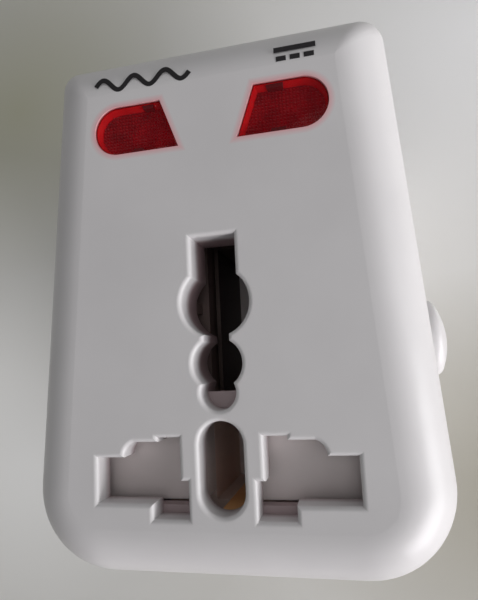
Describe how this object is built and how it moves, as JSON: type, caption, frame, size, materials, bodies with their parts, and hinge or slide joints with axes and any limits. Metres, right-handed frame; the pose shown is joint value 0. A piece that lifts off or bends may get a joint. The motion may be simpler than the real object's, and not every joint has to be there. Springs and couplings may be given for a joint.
{
  "type": "travel adapter",
  "caption": "Travel power adapter with a universal socket face, shuttered pin slots, sliding plug sets, indicator lamps and a USB charging port.",
  "frame": {"origin": "middle of the back face, where the plug pins come out and on which the part lies", "axes": "+Z out of the socket face, +Y along the face towards the lamps and the USB port, +X to the right as the socket face is read"},
  "size_m": [0.0558, 0.064, 0.055],
  "materials": {
    "housing_plastic": "glossy",
    "inner_plastic": "satin",
    "lens_plastic": "glossy, translucent",
    "black_plastic": "satin",
    "contact_brass": "bare",
    "plated_brass": "nickel plated",
    "steel": "bright zinc",
    "board_laminate": "solder mask",
    "ferrite": "dull",
    "copper_wire": "varnished copper",
    "fuse_glass": "clear"
  },
  "bodies": {
    "housing": {"front_shell": "housing_plastic", "rear_shell": "housing_plastic", "case_screws": "steel", "partition_plate": "inner_plastic", "ac_lamp_lens": "lens_plastic", "usb_lamp_lens": "lens_plastic", "lamp_board": "board_laminate", "ac_lamp_led": "lens_plastic", "usb_lamp_led": "lens_plastic", "contact_carrier": "black_plastic", "live_contact": "contact_brass", "neutral_contact": "contact_brass", "earth_contact": "contact_brass", "live_bus": "contact_brass", "neutral_bus": "contact_brass", "earth_bus": "contact_brass", "live_shutter_spring": "steel", "neutral_shutter_spring": "steel", "fuse_tube": "fuse_glass", "fuse_caps": "plated_brass", "fuse_clips": "contact_brass", "usb_shell": "steel", "usb_tongue": "black_plastic", "usb_contacts": "contact_brass", "charger_board": "board_laminate", "transformer_core": "ferrite", "transformer_coil": "copper_wire", "charger_capacitor": "black_plastic", "charger_chip": "black_plastic"},
    "live_shutter": {"live_shutter": "inner_plastic"},
    "neutral_shutter": {"neutral_shutter": "inner_plastic"},
    "eu_set": {"eu_carriage": "inner_plastic", "eu_button": "housing_plastic", "eu_pins": "plated_brass", "eu_pin_sleeves": "black_plastic"},
    "uk_set": {"uk_carriage": "inner_plastic", "uk_button": "housing_plastic", "uk_power_pins": "plated_brass", "uk_pin_sleeves": "black_plastic", "uk_earth_pin": "plated_brass"},
    "us_set": {"us_carriage": "inner_plastic", "us_button": "housing_plastic", "us_cover": "inner_plastic", "us_wipers": "contact_brass"},
    "us_left_turret": {"us_left_turret": "inner_plastic", "us_left_blade": "plated_brass"},
    "us_right_turret": {"us_right_turret": "inner_plastic", "us_right_blade": "plated_brass"}
  },
  "joints": [
    {"name": "eu_slide", "type": "slide", "parent": "housing", "child": "eu_set", "axis": [0, 0, -1], "range_m": [0, 0.0193]},
    {"name": "uk_slide", "type": "slide", "parent": "housing", "child": "uk_set", "axis": [0, 0, -1], "range_m": [0, 0.023]},
    {"name": "us_slide", "type": "slide", "parent": "housing", "child": "us_set", "axis": [0, 0, -1], "range_m": [0, 0.0173]},
    {"name": "left_blade_turn", "type": "hinge", "parent": "us_set", "child": "us_left_turret", "pos_m": [-0.00635, 0.0175, 0.0226], "axis": [0, 0, -1], "range_deg": [0, 30]},
    {"name": "right_blade_turn", "type": "hinge", "parent": "us_set", "child": "us_right_turret", "pos_m": [0.00635, 0.0175, 0.0226], "axis": [0, 0, 1], "range_deg": [0, 30]},
    {"name": "live_shutter_slide", "type": "slide", "parent": "housing", "child": "live_shutter", "axis": [0, 1, 0], "range_m": [0, 0.0072], "stiffness_N_per_m": 60, "springref_m": -0.004, "deforming": ["live_shutter_spring"]},
    {"name": "neutral_shutter_slide", "type": "slide", "parent": "housing", "child": "neutral_shutter", "axis": [0, 1, 0], "range_m": [0, 0.0072], "stiffness_N_per_m": 60, "springref_m": -0.004, "deforming": ["neutral_shutter_spring"]}
  ]
}
